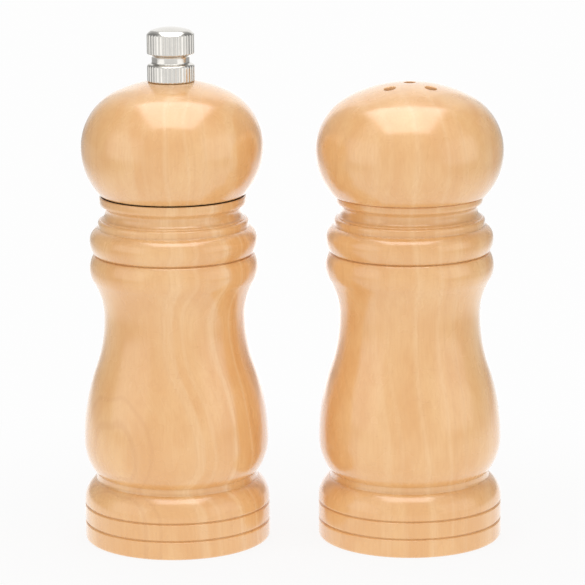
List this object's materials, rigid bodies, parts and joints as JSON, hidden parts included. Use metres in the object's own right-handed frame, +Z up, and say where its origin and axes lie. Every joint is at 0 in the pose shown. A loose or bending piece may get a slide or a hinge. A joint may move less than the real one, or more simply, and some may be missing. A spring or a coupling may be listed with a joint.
{
  "type": "salt and pepper set",
  "caption": "Turned wooden pepper mill with a turning head, ribbed crown nut and burr grinder, and a matching one-piece salt shaker with pouring holes and a base stopper.",
  "frame": {"origin": "on the surface that the set stands on, midway between the outer sides of the mill and the shaker", "axes": "+Z up along both turned axes; +X from the mill to the shaker; the set is seen from -Y"},
  "size_m": [0.1184, 0.0524, 0.1455],
  "materials": {
    "mill_wood": "clear gloss lacquer over honey-toned close-grained hardwood",
    "shaker_wood": "clear gloss lacquer over honey-toned close-grained hardwood",
    "nut_chrome": "polished chrome plate",
    "plate_steel": "zinc-plated sheet steel",
    "screw_steel": "bright zinc-plated steel",
    "shaft_aluminium": "drawn aluminium",
    "burr_iron": "hardened, oiled dark steel",
    "housing_zinc": "die-cast, matt grey",
    "spring_steel": "bright spring wire",
    "stopper_plastic": "soft translucent polythene"
  },
  "bodies": {
    "mill_base": {"mill_body": "mill_wood", "burr_housing": "housing_zinc", "outer_burr": "burr_iron", "crossbar": "plate_steel", "crossbar_screws": "screw_steel"},
    "turning_core": {"thrust_washer": "plate_steel", "burr_spring": "spring_steel"},
    "burr_shaft": {"mill_shaft": "shaft_aluminium", "inner_burr": "burr_iron"},
    "head": {"mill_head": "mill_wood", "drive_plate": "plate_steel", "drive_plate_screws": "screw_steel"},
    "nut": {"crown_nut": "nut_chrome"},
    "shaker": {"shaker_body": "shaker_wood"},
    "stopper": {"shaker_stopper": "stopper_plastic"}
  },
  "joints": [
    {"name": "head_turn", "type": "hinge", "parent": "mill_base", "child": "turning_core", "pos_m": [-0.033, 0, 0.0988], "axis": [0, 0, 1], "continuous": true},
    {"name": "grind_adjust", "type": "slide", "parent": "turning_core", "child": "burr_shaft", "axis": [0, 0, 1], "range_m": [0, 0.0016], "deforming": ["burr_spring"]},
    {"name": "head_lift", "type": "slide", "parent": "turning_core", "child": "head", "axis": [0, 0, 1], "range_m": [0, 0.06]},
    {"name": "nut_turn", "type": "hinge", "parent": "head", "child": "nut", "pos_m": [-0.033, 0, 0.1303], "axis": [0, 0, 1], "range_deg": [-720, 0]},
    {"name": "shaker_lift", "type": "slide", "parent": "mill_base", "child": "shaker", "axis": [0, 0, 1], "range_m": [0, 0.2]},
    {"name": "stopper_pull", "type": "slide", "parent": "shaker", "child": "stopper", "axis": [0, 0, -1], "range_m": [0, 0.02]}
  ],
  "couplings": [
    {"joint": "grind_adjust", "follows": "nut_turn", "m_per_rad": -0.00012732}
  ]
}
